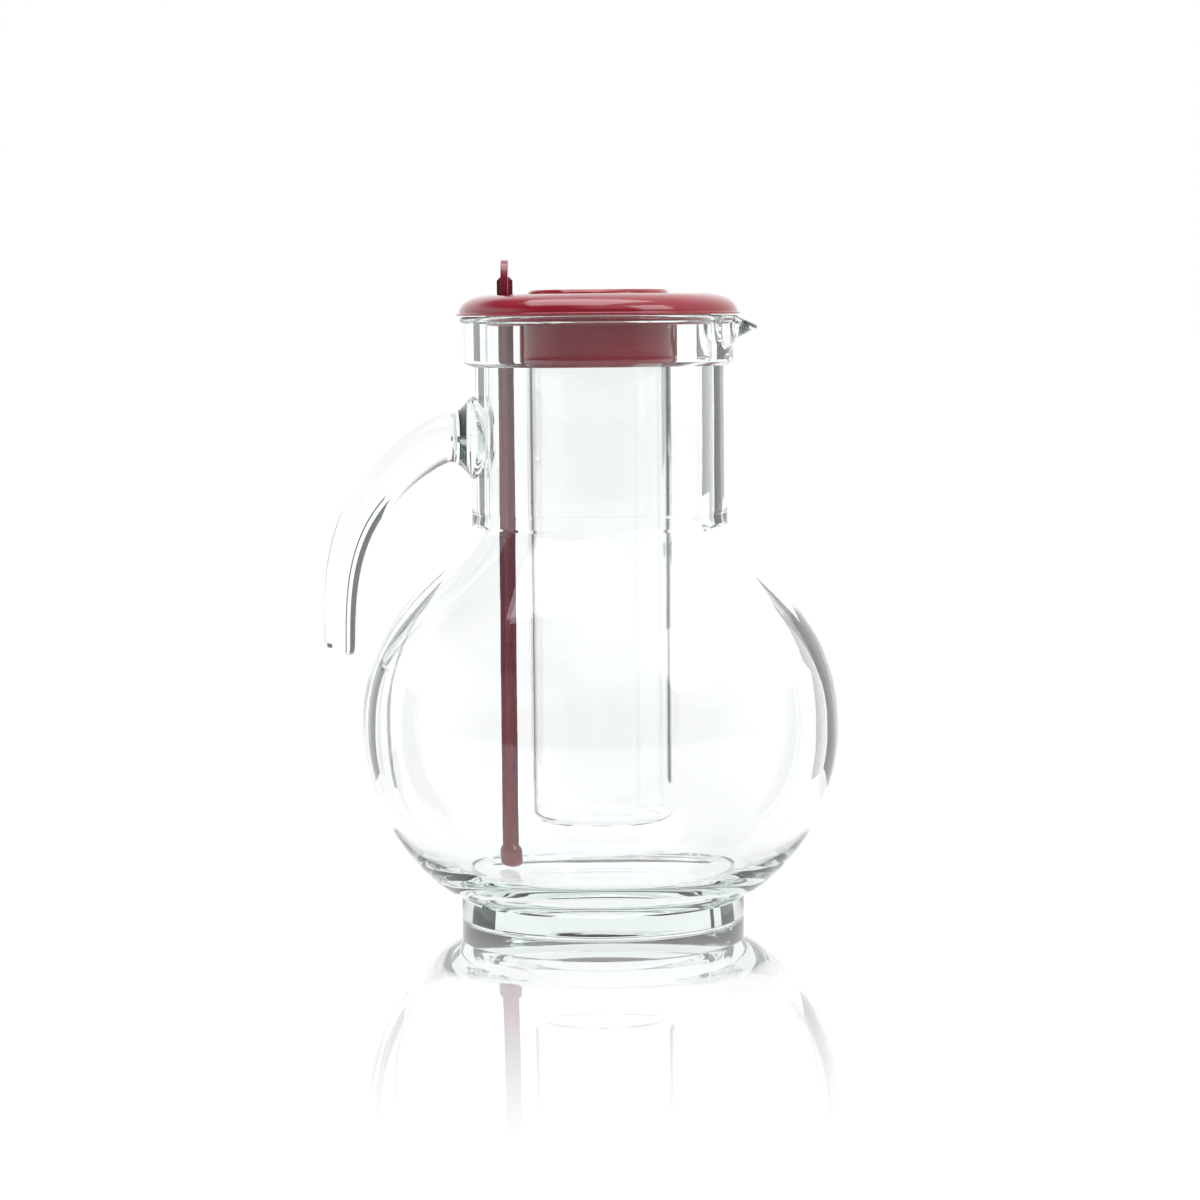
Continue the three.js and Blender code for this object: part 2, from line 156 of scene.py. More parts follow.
def bulbRun(widest, end, lastRadius, endHeight, powers):
    heightPower, radiusPower = powers

    def radiusAt(share):
        return end + (widest - end) * (1 - share ** heightPower) ** (1 / radiusPower)

    lastShare = (1 - ((lastRadius - end) / (widest - end)) ** radiusPower) ** (1 / heightPower)
    run = []
    for i in range(jug["curveSteps"] + 1):
        share = lastShare * math.sin(math.pi / 2 * i / jug["curveSteps"])
        run.append((radiusAt(share), jug["waist"] + (endHeight - jug["waist"]) * share))
    return run


def jugOutline():
    lower = bulbRun(jug["bulb"], jug["foot"] - jug["bulbTuck"], jug["foot"] - jug["footGroove"],
                    jug["bulbBottom"], jug["lowerCurve"])[::-1]
    upper = bulbRun(jug["bulb"], jug["neck"] - jug["shoulderTuck"], jug["neck"],
                    jug["shoulder"], jug["upperCurve"])[1:]
    inner = jug["bulb"] - jug["wall"]
    innerUpper = bulbRun(inner, jug["neckInner"] - jug["shoulderTuck"], jug["neckInner"],
                         jug["shoulder"] - jug["innerShoulderDrop"], jug["upperCurve"])[::-1]
    innerLower = bulbRun(inner, jug["floorEdge"], jug["floorEdge"],
                         jug["floor"] + jug["dish"], jug["innerLowerCurve"])[1:]
    footRun = 8
    foot = [(0, 0)] + [(jug["foot"] * i / footRun, 0) for i in range(1, footRun)]
    foot += arcRun(4, jug["foot"] - jug["footBevel"], jug["footBevel"],
                   jug["footBevel"], jug["footBevel"], -90, 0)
    foot += [(jug["foot"], lower[0][1] - jug["footGroove"])]
    neckStart, neckEnd = upper[-1][1], jug["collarBottom"] - jug["collarSlope"]
    neck = [(jug["neck"], neckStart + (neckEnd - neckStart) * i / jug["neckSteps"])
            for i in range(1, jug["neckSteps"] + 1)]
    easeIn, easeDown = jug["collarEase"]
    collar = [(jug["collar"] - easeIn, jug["collarBottom"] - easeDown),
              (jug["collar"], jug["collarBottom"] + jug["collarStart"])]
    collarRun = 12
    collarTop = jug["height"] - jug["collarTopDrop"]
    collarFoot = jug["collarBottom"] + jug["collarStep"]
    collar += [(jug["collar"], collarFoot + (collarTop - collarFoot) * i / collarRun)
               for i in range(1, collarRun + 1)]
    lip = arcRun(8, jug["collar"], jug["height"] - jug["lipFlare"],
                 jug["lipFlare"], jug["lipFlare"], jug["lipStart"], 90)
    rim = arcRun(5, jug["neckInner"] + jug["lipRound"], jug["height"] - jug["lipRound"],
                 jug["lipRound"], jug["lipRound"], 90, 180)
    mouthRun = 18
    mouth = [(jug["neckInner"],
              jug["height"] - jug["lipRound"] - (jug["spoutInnerDepth"] - jug["lipRound"]) * i / mouthRun)
             for i in range(1, mouthRun + 1)]
    neckInside = [(jug["neckInner"], mouth[-1][1] + (innerUpper[0][1] - mouth[-1][1]) * i / jug["neckSteps"])
                  for i in range(1, jug["neckSteps"])]
    dishRun = 12
    dish = [(jug["floorEdge"] * i / dishRun, jug["floor"] + jug["dish"] * (i / dishRun) ** 2)
            for i in range(dishRun - 1, -1, -1)]
    return (foot + lower + upper + neck + collar + lip + rim + mouth + neckInside
            + innerUpper + innerLower + dish)


def pinchSpout(piece):
    # pulled by its formula, since no single move tool follows both walls of the lip
    middle = (jug["neckInner"] + jug["collar"]) / 2
    for vertex in piece.data.vertices:
        x, y, z = (value / mm for value in vertex.co)
        radius, angle = math.hypot(x, y), math.atan2(y, x)
        depth = jug["spoutOuterDepth"] if radius > middle else jug["spoutInnerDepth"]
        if z < jug["height"] - depth or abs(math.degrees(angle)) > jug["spoutHalfAngle"]:
            continue
        climb = smoothShare(z, jug["height"] - depth, jug["height"])
        pinch = climb * math.cos(math.pi / 2 * abs(math.degrees(angle)) / jug["spoutHalfAngle"]) ** 2
        outward = smoothShare(radius, jug["neckInner"], jug["collar"])
        radius += jug["spoutReach"] * pinch
        z -= jug["spoutDrop"] * pinch * outward
        vertex.co = Vector((radius * math.cos(angle), radius * math.sin(angle), z)) * mm


handle = {
    "rootHeight": 177.3, "tipHeight": 97.6, "reach": 95.8, "bendStart": 56, "rootX": 43,
    "rootSize": (18.6, 21), "tipSize": (12.4, 15), "flare": 12, "flareLength": 8, "sink": 4,
    "tipRound": 3.6, "tipFlat": 0.6, "curve": (1.24, 3.12), "sides": 40, "steps": 44,
    "leanSpan": 1.5, "straightSteps": 60, "bendSteps": 400, "flareSteps": 12, "tipSteps": 8,
}


def handleCentres():
    # a straight start out of the neck, then the bend down to the tip
    straight = handle["bendStart"] - handle["rootX"]
    line = [Vector((-handle["rootX"] - straight * i / handle["straightSteps"], 0, handle["rootHeight"]))
            for i in range(handle["straightSteps"])]
    drop = handle["rootHeight"] - handle["tipHeight"]
    bend = handle["reach"] - handle["bendStart"]
    reachPower, heightPower = handle["curve"]
    for i in range(handle["bendSteps"] + 1):
        angle = math.pi / 2 * i / handle["bendSteps"]
        out = handle["bendStart"] + bend * math.sin(angle) ** (2 / reachPower)
        line.append(Vector((-out, 0, handle["tipHeight"] + drop * math.cos(angle) ** (2 / heightPower))))
    lengths = [0.0]
    for here, there in zip(line, line[1:]):
        lengths.append(lengths[-1] + (there - here).length)
    return line, lengths


def pointAlong(line, lengths, station):
    i = 1
    while i < len(lengths) - 1 and lengths[i] < station:
        i += 1
    span = lengths[i] - lengths[i - 1]
    return line[i - 1].lerp(line[i], (station - lengths[i - 1]) / span if span else 0)


def handleStations():
    line, lengths = handleCentres()
    total = lengths[-1]
    flareEnd = handle["sink"] + handle["flareLength"]
    tipStart = total - handle["tipRound"]
    distances = [flareEnd * i / handle["flareSteps"] for i in range(handle["flareSteps"])]
    distances += [flareEnd + (tipStart - flareEnd) * i / handle["steps"] for i in range(handle["steps"])]
    distances += [tipStart + handle["tipRound"] * math.sin(math.pi / 2 * i / handle["tipSteps"])
                  for i in range(handle["tipSteps"] + 1)]
    stations = []
    for distance in distances:
        ahead = pointAlong(line, lengths, min(total, distance + handle["leanSpan"]))
        behind = pointAlong(line, lengths, max(0, distance - handle["leanSpan"]))
        lean = math.atan2(behind.z - ahead.z, behind.x - ahead.x)
        flareShare = max(0, 1 - max(0, distance - handle["sink"]) / handle["flareLength"])
        tipShare = min(1, max(0, 1 - (total - distance) / handle["tipRound"]))
        shrink = handle["tipFlat"] + (1 - handle["tipFlat"]) * math.sqrt(1 - tipShare ** 2)
        share = distance / total
        sizes = [(root + (tip - root) * share + handle["flare"] * flareShare ** 2) * shrink
                 for root, tip in zip(handle["rootSize"], handle["tipSize"])]
        stations.append((pointAlong(line, lengths, distance), lean, *sizes))
    return stations


def bendHandle():
    stations = handleStations()
    centre, lean, thickness, depth = stations[0]
    bpy.ops.object.select_all(action="DESELECT")
    bpy.ops.mesh.primitive_circle_add(vertices=handle["sides"], radius=0.5 * mm, fill_type="NGON",
                                      location=centre * mm, rotation=(0, -math.pi / 2, 0))
    piece = nameNewest("jugHandleBar")
    bpy.ops.object.transform_apply(location=True, rotation=True, scale=True)
    bpy.ops.object.mode_set(mode="EDIT")
    bpy.ops.mesh.select_all(action="SELECT")
    bpy.ops.transform.resize(value=(1, depth, thickness), center_override=centre * mm)
    for here, there in zip(stations, stations[1:]):
        move = (there[0] - here[0]) * mm
        bpy.ops.mesh.extrude_region_move(TRANSFORM_OT_translate={"value": move})
        pivot = there[0] * mm
        turn = there[1] - here[1]
        if abs(turn) > tiny:
            bpy.ops.transform.rotate(value=turn, orient_axis="Y", center_override=pivot)
        grow, widen = there[2] / here[2], there[3] / here[3]
        bpy.ops.transform.resize(value=(grow, widen, grow), center_override=pivot)
    cleanSkin()
    return piece


jugPiece = turnOutline("jugGlass", jugOutline(), jug["stepsAround"])
pinchSpout(jugPiece)
combine(jugPiece, bendHandle())
smooth(jugPiece, jug["smoothAngle"])
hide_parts("jug_body", "jug_handle")
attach(jugPiece, "jug")
print("jug made:", len(jugPiece.data.polygons), "faces")


# lid

lid = {
    "top": 229.4, "bottom": 221.8, "radius": 52.2, "edgeWidth": 1.1, "edgeThickness": 0.8,
    "domeWidth": 12.4, "wall": 2.2, "spigot": 41.3, "spigotBottom": 218.1, "spigotWall": 2,
    "seatWidth": 3, "tubeInner": 26.9, "tubeOuter": 28.9, "tubeBottom": 203.4, "ledge": 28.2,
    "ledgeHeight": 227.3, "domePower": 2.1, "holeX": -34.1, "holeRadius": 4.55, "holeFacets": 48,
    "cutterLength": 8, "cutterDrop": 1.2, "softCorner": 0.35, "stepsAround": 144,
}


def domeRun(crown, edge, bottom, top, steps=14):
    run = []
    for i in range(steps + 1):
        angle = math.pi / 2 * i / steps
        out = math.sin(angle) ** (2 / lid["domePower"])
        run.append((crown + (edge - crown) * out,
                    bottom + (top - bottom) * math.cos(angle) ** (2 / lid["domePower"])))
    return run


def lidOutline():
    dome = lid["radius"] - lid["edgeWidth"]
    crown = dome - lid["domeWidth"]
    innerTop = lid["top"] - lid["wall"]
    seat = lid["spigot"] + lid["seatWidth"]
    outerDome = domeRun(crown, dome, lid["bottom"] + lid["edgeThickness"], lid["top"])[::-1]
    innerDome = [point for point in domeRun(crown, dome - lid["wall"], lid["bottom"], innerTop)
                 if point[0] > seat]
    return [
        (lid["ledge"], (lid["ledgeHeight"] + lid["top"]) / 2),
        (lid["ledge"], lid["ledgeHeight"]), (lid["tubeInner"], lid["ledgeHeight"]),
        (lid["tubeInner"], lid["tubeBottom"]), (lid["tubeOuter"], lid["tubeBottom"]),
        (lid["tubeOuter"], innerTop), (lid["spigot"] - lid["spigotWall"], innerTop),
        (lid["spigot"] - lid["spigotWall"], lid["spigotBottom"]),
        (lid["spigot"], lid["spigotBottom"]), (lid["spigot"], lid["bottom"]),
        (seat, lid["bottom"]), (seat, innerDome[0][1]), *innerDome[1:],
        (lid["radius"], lid["bottom"]), (lid["radius"], lid["bottom"] + lid["edgeThickness"]),
        *outerDome, (lid["ledge"], lid["top"]), (lid["ledge"], (lid["ledgeHeight"] + lid["top"]) / 2),
    ]


lidPiece = turnOutline("lidShell", softCorners(lidOutline(), lid["softCorner"]), lid["stepsAround"])
# the cutter is turned by half a facet, so that no edge of it lies on the lid's seam
bpy.ops.mesh.primitive_cylinder_add(vertices=lid["holeFacets"], radius=lid["holeRadius"] * mm,
                                    depth=lid["cutterLength"] * mm,
                                    location=(lid["holeX"] * mm, 0, (lid["top"] - lid["cutterDrop"]) * mm),
                                    rotation=(0, 0, math.pi / lid["holeFacets"]))
combine(lidPiece, nameNewest("holeCutter"), "DIFFERENCE")
smooth(lidPiece)
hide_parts("lid")
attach(lidPiece, "lid")
print("lid made")


# ice tube, hung in the lid's ledge

iceTube = {
    "radius": 26.5, "wall": 1.8, "bottom": 36.5, "corner": 4.5, "crown": 3.5,
    "flange": 27.8, "flangeBottom": 227.6, "top": 229.1, "softCorner": 0.4, "stepsAround": 128,
}


def crownRun(foot, bottom, steps=10):
    return [(foot * i / steps, bottom + iceTube["crown"] * (1 - (i / steps) ** 2)) for i in range(steps)]


def tubeOutline():
    middle, level = iceTube["radius"] - iceTube["corner"], iceTube["bottom"] + iceTube["corner"]
    innerCorner = iceTube["corner"] - iceTube["wall"]
    inside = iceTube["radius"] - iceTube["wall"]
    return (crownRun(middle, iceTube["bottom"])
            + arcRun(10, middle, level, iceTube["corner"], iceTube["corner"], -90, 0)
            + [(iceTube["radius"], iceTube["flangeBottom"]), (iceTube["flange"], iceTube["flangeBottom"]),
               (iceTube["flange"], iceTube["top"]), (inside, iceTube["top"])]
            + arcRun(10, middle, level, innerCorner, innerCorner, 0, -90)
            + crownRun(middle, iceTube["bottom"] + iceTube["wall"])[::-1])


tubePiece = turnOutline("iceTubeShell", softCorners(tubeOutline(), iceTube["softCorner"]),
                        iceTube["stepsAround"])
smooth(tubePiece)
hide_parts("ice_tube")
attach(tubePiece, "ice_tube")
print("ice tube made")


# cap of the ice tube: a plug with a grip bar between two finger wells

cap = {
    "seat": 229.4, "plug": 24.2, "depth": 8, "rimWidth": 1.95, "rimHeight": 1.6, "rimTaper": 1.25,
    "wall": 1.6, "gripWidth": 6, "gripDrop": 0.3, "gripSink": 0.8, "gripBevel": 0.7,
    "softCorner": 0.4, "stepsAround": 128,
}


def capOutline():
    rim, rimTop = cap["plug"] + cap["rimWidth"], cap["seat"] + cap["rimHeight"]
    bottom, well = cap["seat"] - cap["depth"], cap["plug"] - cap["wall"]
    return [(0, bottom), (cap["plug"], bottom), (cap["plug"], cap["seat"]), (rim, cap["seat"]),
            (rim - cap["rimTaper"] / 2, rimTop - cap["rimTaper"] / 2), (rim - cap["rimTaper"], rimTop),
            (well, rimTop), (well, bottom + cap["wall"]), (0, bottom + cap["wall"])]


def gripBar():
    bottom = cap["seat"] - cap["depth"] + cap["wall"] / 2
    top = cap["seat"] + cap["rimHeight"] - cap["gripDrop"]
    length = 2 * (cap["plug"] - cap["wall"] + cap["gripSink"])
    bpy.ops.object.select_all(action="DESELECT")
    bpy.ops.mesh.primitive_cube_add(size=mm, location=(0, 0, (top + bottom) / 2 * mm),
                                    scale=(length, cap["gripWidth"], top - bottom))
    bar = nameNewest("gripBar")
    bpy.ops.object.transform_apply(location=True, rotation=True, scale=True)
    bpy.ops.object.mode_set(mode="EDIT")
    bpy.ops.mesh.select_all(action="SELECT")
    bpy.ops.mesh.bevel(offset=cap["gripBevel"] * mm, segments=4, affect="EDGES")
    cleanSkin()
    return bar


capPiece = turnOutline("iceTubeCap", softCorners(capOutline(), cap["softCorner"]), cap["stepsAround"])
combine(capPiece, gripBar())
smooth(capPiece)
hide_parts("ice_tube_cap")
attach(capPiece, "ice_tube_cap")
print("cap made")


# stirrer: crossing ribs, knob below, tab above

stirrer = {
    "x": -34.1, "bottom": 14.45, "tabSeat": 229.7, "rod": 5.8, "rib": 1.8,
    "tabThickness": 2.6, "tabWidth": 18, "tabHeight": 12.4, "tabArc": 7.5,
    "shoulderRise": 6.2, "shoulderChamfer": 1.3, "knob": 4.15, "knobLength": 9,
    "knobNeck": 6, "knobRound": 3, "edge": 0.3,
    "knobStep": (0.4, 1.2), "edgeAngle": 40, "stepsAround": 48,
}


def ribBar(name, width, depth, bottom, top):
    bpy.ops.object.select_all(action="DESELECT")
    bpy.ops.mesh.primitive_cube_add(size=mm, location=(stirrer["x"] * mm, 0, (bottom + top) / 2 * mm),
                                    scale=(width, depth, top - bottom))
    bar = nameNewest(name)
    bpy.ops.object.transform_apply(location=True, rotation=True, scale=True)
    return bar


def chamferShoulders(bar, top):
    # the two upper edges that run from front to back
    pickOnly(bar)
    bpy.ops.object.mode_set(mode="EDIT")
    bpy.ops.mesh.select_mode(type="EDGE")
    bpy.ops.mesh.select_all(action="DESELECT")
    bpy.ops.object.mode_set(mode="OBJECT")
    for edge in bar.data.edges:
        one, other = (bar.data.vertices[i].co for i in edge.vertices)
        atTop = abs(one.z - top * mm) < tiny and abs(other.z - top * mm) < tiny
        edge.select = atTop and abs(one.x - other.x) < tiny
    bpy.ops.object.mode_set(mode="EDIT")
    bpy.ops.mesh.bevel(offset=stirrer["shoulderChamfer"] * mm, segments=1, affect="EDGES")
    bpy.ops.mesh.select_mode(type="VERT")
    bpy.ops.object.mode_set(mode="OBJECT")


def tabPlate():
    half, seat = stirrer["tabWidth"] / 2, stirrer["tabSeat"]
    arcHeight = seat + stirrer["tabHeight"] - stirrer["tabArc"]
    side = stirrer["x"] - stirrer["tabThickness"] / 2
    outline = [(-half, seat), (half, seat)] + arcRun(28, 0, arcHeight, half, stirrer["tabArc"], 0, 180)
    plate = drawLine("tabPlate", [(side, across, height) for across, height in outline])
    bpy.ops.mesh.select_all(action="SELECT")
    bpy.ops.mesh.edge_face_add()
    bpy.ops.mesh.extrude_region_move(
        TRANSFORM_OT_translate={"value": (stirrer["tabThickness"] * mm, 0, 0)})
    cleanSkin()
    return plate


def makeStirrer():
    ribBottom = stirrer["bottom"] + stirrer["knobRound"]
    shoulder = stirrer["bottom"] + stirrer["knobLength"]
    neckTop = shoulder + stirrer["knobNeck"]
    outline = arcRun(10, 0, ribBottom, stirrer["knob"], stirrer["knobRound"], -90, 0)
    stepIn, stepUp = stirrer["knobStep"]
    outline += [(stirrer["knob"], shoulder), (stirrer["knob"] - stepIn, shoulder + stepUp),
                (stirrer["rib"] / 2, neckTop), (0, neckTop)]
    piece = turnOutline("stirrerRod", outline, stirrer["stepsAround"], stirrer["x"])
    top = stirrer["tabSeat"] + stirrer["shoulderRise"]
    cross = ribBar("crossRib", stirrer["rod"], stirrer["rib"], ribBottom, top)
    chamferShoulders(cross, top)
    combine(piece, cross)
    combine(piece, ribBar("longRib", stirrer["rib"], stirrer["rod"], ribBottom,
                          stirrer["tabSeat"] + stirrer["shoulderChamfer"]))
    combine(piece, tabPlate())
    applyModifier(piece, "BEVEL", width=stirrer["edge"] * mm, segments=3, limit_method="ANGLE",
                  angle_limit=math.radians(stirrer["edgeAngle"]), use_clamp_overlap=True)
    return piece


stirrerPiece = makeStirrer()
smooth(stirrerPiece)
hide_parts("stirrer")
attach(stirrerPiece, "stirrer")
print("stirrer made")


# materials

def place(tree, kind, inputs=None, **settings):
    made = tree.nodes.new(kind)
    for key, value in settings.items():
        setattr(made, key, value)
    for name, value in (inputs or {}).items():
        if isinstance(value, bpy.types.NodeSocket):
            tree.links.new(value, made.inputs[name])
        else:
            made.inputs[name].default_value = value
    return made


def newGroup(name, inputs, outputs):
    tree = bpy.data.node_groups.new(name, "ShaderNodeTree")
    for label, kind, value in inputs:
        socket = tree.interface.new_socket(name=label, in_out="INPUT", socket_type="NodeSocket" + kind)
        if value is not None:
            socket.default_value = value
    for label, kind in outputs:
        tree.interface.new_socket(name=label, in_out="OUTPUT", socket_type="NodeSocket" + kind)
    return tree, place(tree, "NodeGroupInput").outputs, place(tree, "NodeGroupOutput").inputs


def makeRippleGroup():
    # the slow waves and fine skin that blown glass and clear mouldings show, with soft clouds in roughness
    # and tint
    tree, given, result = newGroup(
        "clearRipple",
        [("Vector", "Vector", None), ("Wave Scale", "Float", 22.0), ("Stretch", "Vector", (1, 1, 0.35)),
         ("Skin Scale", "Float", 420.0), ("Skin Share", "Float", 0.04), ("Roughness Low", "Float", 0.0),
         ("Roughness High", "Float", 0.02)],
        [("Height", "Float"), ("Roughness", "Float"), ("Cloud", "Float")])
    stretched = place(tree, "ShaderNodeVectorMath",
                      {0: given["Vector"], 1: given["Stretch"]}, operation="MULTIPLY").outputs[0]
    wave = place(tree, "ShaderNodeTexNoise", {"Vector": stretched, "Scale": given["Wave Scale"],
                                              "Detail": 1.5, "Roughness": 0.4}).outputs["Fac"]
    skin = place(tree, "ShaderNodeTexNoise", {"Vector": given["Vector"], "Scale": given["Skin Scale"],
                                              "Detail": 2.0}).outputs["Fac"]
    share = place(tree, "ShaderNodeMath", {0: skin, 1: given["Skin Share"]}, operation="MULTIPLY").outputs[0]
    height = place(tree, "ShaderNodeMath", {0: wave, 1: share}, operation="ADD").outputs[0]
    cloud = place(tree, "ShaderNodeTexNoise", {"Vector": given["Vector"], "Scale": 34.0,
                                               "Detail": 3.0}).outputs["Fac"]
    roughness = place(tree, "ShaderNodeMapRange",
                      {"Value": cloud, "From Min": 0.35, "From Max": 0.7,
                       "To Min": given["Roughness Low"], "To Max": given["Roughness High"]}).outputs[0]
    tree.links.new(height, result["Height"])
    tree.links.new(roughness, result["Roughness"])
    tree.links.new(cloud, result["Cloud"])
    return tree


def makeMouldedGroup():
    # flow clouds in the colour, a polished skin with fine orange peel, and faint rub marks
    tree, given, result = newGroup(
        "mouldedSkin",
        [("Vector", "Vector", None), ("Colour", "Color", (0.5, 0.02, 0.04, 1)),
         ("Deep Colour", "Color", (0.3, 0.01, 0.02, 1)), ("Cloud Scale", "Float", 30.0),
         ("Peel Scale", "Float", 700.0), ("Rub Scale", "Float", 160.0),
         ("Roughness Low", "Float", 0.08), ("Roughness High", "Float", 0.2)],
        [("Color", "Color"), ("Roughness", "Float"), ("Height", "Float")])
    cloud = place(tree, "ShaderNodeTexNoise", {"Vector": given["Vector"], "Scale": given["Cloud Scale"],
                                               "Detail": 4.0}).outputs["Fac"]
    share = place(tree, "ShaderNodeMapRange",
                  {"Value": cloud, "From Min": 0.35, "From Max": 0.68}).outputs[0]
    colour = place(tree, "ShaderNodeMix", data_type="RGBA")
    tree.links.new(share, colour.inputs["Factor"])
    tree.links.new(given["Deep Colour"], colour.inputs["A"])
    tree.links.new(given["Colour"], colour.inputs["B"])
    rubVector = place(tree, "ShaderNodeVectorMath", {0: given["Vector"], 1: (1, 1, 6)},
                      operation="MULTIPLY").outputs[0]
    rub = place(tree, "ShaderNodeTexNoise", {"Vector": rubVector, "Scale": given["Rub Scale"],
                                             "Detail": 5.0}).outputs["Fac"]
    roughness = place(tree, "ShaderNodeMapRange",
                      {"Value": rub, "From Min": 0.4, "From Max": 0.75,
                       "To Min": given["Roughness Low"], "To Max": given["Roughness High"]}).outputs[0]
    peel = place(tree, "ShaderNodeTexNoise", {"Vector": given["Vector"], "Scale": given["Peel Scale"],
                                              "Detail": 1.0}).outputs["Fac"]
    tree.links.new(colour.outputs["Result"], result["Color"])
    tree.links.new(roughness, result["Roughness"])
    tree.links.new(peel, result["Height"])
    return tree


rippleGroup = makeRippleGroup()
mouldedGroup = makeMouldedGroup()


def newMaterial(name):
    material = bpy.data.materials.new(name)
    material.use_nodes = True
    tree = material.node_tree
    tree.nodes.clear()
    return material, tree, place(tree, "ShaderNodeOutputMaterial")


def clearMaterial(name, look):
    material, tree, output = newMaterial(name)
    coordinate = place(tree, "ShaderNodeTexCoord").outputs["Object"]
    ripple = place(tree, "ShaderNodeGroup", node_tree=rippleGroup)
    tree.links.new(coordinate, ripple.inputs["Vector"])
    for label, value in look["ripple"].items():
        ripple.inputs[label].default_value = value
    bump = place(tree, "ShaderNodeBump", {"Height": ripple.outputs["Height"], "Strength": 1.0,
                                          "Distance": look["waveDepth"] * mm})
    tint = place(tree, "ShaderNodeMix", data_type="RGBA")
    tree.links.new(ripple.outputs["Cloud"], tint.inputs["Factor"])
    tint.inputs["A"].default_value = look["tintLow"]
    tint.inputs["B"].default_value = look["tintHigh"]
    shader = place(tree, "ShaderNodeBsdfPrincipled", {
        "Base Color": tint.outputs["Result"], "Roughness": ripple.outputs["Roughness"],
        "IOR": look["ior"], "Transmission Weight": 1.0, "Normal": bump.outputs["Normal"]})
    # light passes to what stands inside and to the table
    passing = place(tree, "ShaderNodeBsdfTransparent", {"Color": look["shade"]})
    mixed = place(tree, "ShaderNodeMixShader", {
        0: place(tree, "ShaderNodeLightPath").outputs["Is Shadow Ray"], 1: shader.outputs[0],
        2: passing.outputs[0]})
    tree.links.new(mixed.outputs[0], output.inputs["Surface"])
    if look["depth"]:
        body = place(tree, "ShaderNodeVolumeAbsorption",
                     {"Color": look["bodyColour"], "Density": look["depth"]})
        tree.links.new(body.outputs[0], output.inputs["Volume"])
    return material


def plasticMaterial(name, look):
    material, tree, output = newMaterial(name)
    coordinate = place(tree, "ShaderNodeTexCoord").outputs["Object"]
    skin = place(tree, "ShaderNodeGroup", node_tree=mouldedGroup)
    tree.links.new(coordinate, skin.inputs["Vector"])
    for label, value in look["skin"].items():
        skin.inputs[label].default_value = value
    bump = place(tree, "ShaderNodeBump", {"Height": skin.outputs["Height"], "Strength": 0.5,
                                          "Distance": look["peelDepth"] * mm})
    shader = place(tree, "ShaderNodeBsdfPrincipled", {
        "Base Color": skin.outputs["Color"], "Roughness": skin.outputs["Roughness"],
        "Normal": bump.outputs["Normal"], "Coat Weight": look["coat"], "Coat Roughness": 0.04})
    tree.links.new(shader.outputs[0], output.inputs["Surface"])
    return material


glassLook = {
    "ripple": {"Wave Scale": 26.0, "Stretch": (1.0, 1.0, 0.4), "Skin Scale": 300.0, "Skin Share": 0.01,
               "Roughness Low": 0.0, "Roughness High": 0.015},
    "waveDepth": 0.25, "tintLow": (0.98, 0.992, 0.988, 1), "tintHigh": (0.992, 1.0, 0.997, 1),
    "ior": 1.5, "shade": (0.6, 0.64, 0.63, 1), "bodyColour": (0.74, 0.82, 0.805, 1), "depth": 9.0,
}
tubeLook = {
    "ripple": {"Wave Scale": 34.0, "Stretch": (1.0, 1.0, 0.2), "Skin Scale": 500.0, "Skin Share": 0.01,
               "Roughness Low": 0.01, "Roughness High": 0.04},
    "waveDepth": 0.08, "tintLow": (0.988, 0.992, 0.99, 1), "tintHigh": (0.998, 1.0, 0.999, 1),
    "ior": 1.49, "shade": (0.96, 0.965, 0.965, 1), "depth": 0.0,
}
lidLook = {
    "skin": {"Colour": (0.37, 0.010, 0.031, 1), "Deep Colour": (0.29, 0.007, 0.023, 1),
             "Cloud Scale": 24.0, "Peel Scale": 620.0, "Rub Scale": 120.0,
             "Roughness Low": 0.1, "Roughness High": 0.22},
    "peelDepth": 0.02, "coat": 0.3,
}
capLook = {
    "skin": {"Colour": (0.44, 0.013, 0.037, 1), "Deep Colour": (0.35, 0.009, 0.028, 1),
             "Cloud Scale": 40.0, "Peel Scale": 700.0, "Rub Scale": 150.0,
             "Roughness Low": 0.1, "Roughness High": 0.24},
    "peelDepth": 0.02, "coat": 0.3,
}
stirrerLook = {
    "skin": {"Colour": (0.27, 0.012, 0.04, 1), "Deep Colour": (0.2, 0.008, 0.03, 1),
             "Cloud Scale": 60.0, "Peel Scale": 800.0, "Rub Scale": 220.0,
             "Roughness Low": 0.12, "Roughness High": 0.3},
    "peelDepth": 0.015, "coat": 0.2,
}


def dress(piece, material):
    piece.data.materials.clear()
    piece.data.materials.append(material)


dress(jugPiece, clearMaterial("jugGlassClear", glassLook))
dress(tubePiece, clearMaterial("tubeClear", tubeLook))
dress(lidPiece, plasticMaterial("lidRed", lidLook))
dress(capPiece, plasticMaterial("capRed", capLook))
dress(stirrerPiece, plasticMaterial("stirrerRed", stirrerLook))
print("materials made")


# table, light and camera

